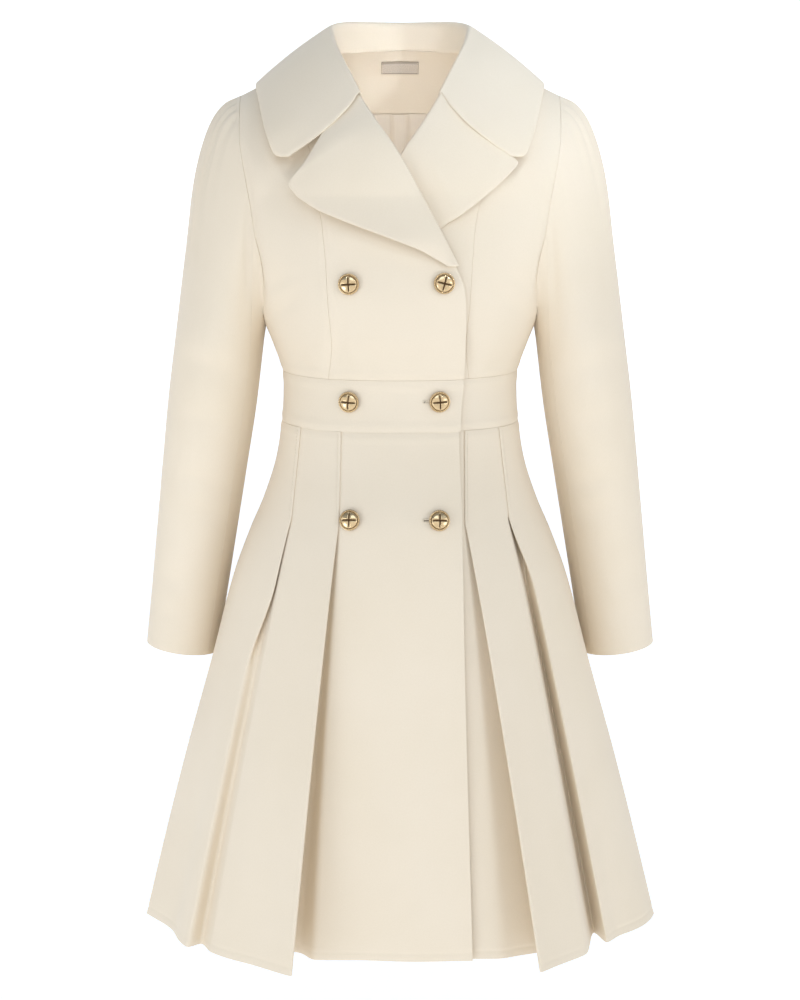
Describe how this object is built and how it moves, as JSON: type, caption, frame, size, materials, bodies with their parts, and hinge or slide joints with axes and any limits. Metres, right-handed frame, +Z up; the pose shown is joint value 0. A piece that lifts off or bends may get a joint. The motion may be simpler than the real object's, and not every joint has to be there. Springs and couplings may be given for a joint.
{
  "type": "long coat",
  "caption": "Long double-breasted coat with a wide notched collar, waistband, pleated flared skirt and gathered sleeve heads, filled out as worn.",
  "frame": {"origin": "between the shoulder points, inside the coat, where the wearer's shoulders hold it", "axes": "+Z up along the wearer, -Y to the front, -X to the wearer's right"},
  "size_m": [0.576, 0.3863, 0.9961],
  "materials": {
    "ivory_coating": "smooth napped coating cloth",
    "cream_lining": "satin lining",
    "woven_tape": "plain woven tape",
    "gold_metal": "polished"
  },
  "bodies": {
    "root": {"back_bodice": "ivory_coating", "band_back": "ivory_coating", "band_left": "ivory_coating", "band_right": "ivory_coating", "collar": "ivory_coating", "front_left": "ivory_coating", "front_right": "ivory_coating", "lapel_left": "ivory_coating", "lapel_right": "ivory_coating", "neck_facing": "ivory_coating", "side_front_left": "ivory_coating", "side_front_right": "ivory_coating", "skirt_back": "ivory_coating", "skirt_left": "ivory_coating", "skirt_right": "ivory_coating", "sleeve_left_outer": "ivory_coating", "sleeve_left_under": "ivory_coating", "sleeve_right_outer": "ivory_coating", "sleeve_right_under": "ivory_coating", "back_lining": "cream_lining", "label": "woven_tape", "button_top_outer": "gold_metal", "button_top_inner": "gold_metal", "button_middle_outer": "gold_metal", "button_middle_inner": "gold_metal", "button_bottom_outer": "gold_metal", "button_bottom_inner": "gold_metal"}
  },
  "joints": []
}
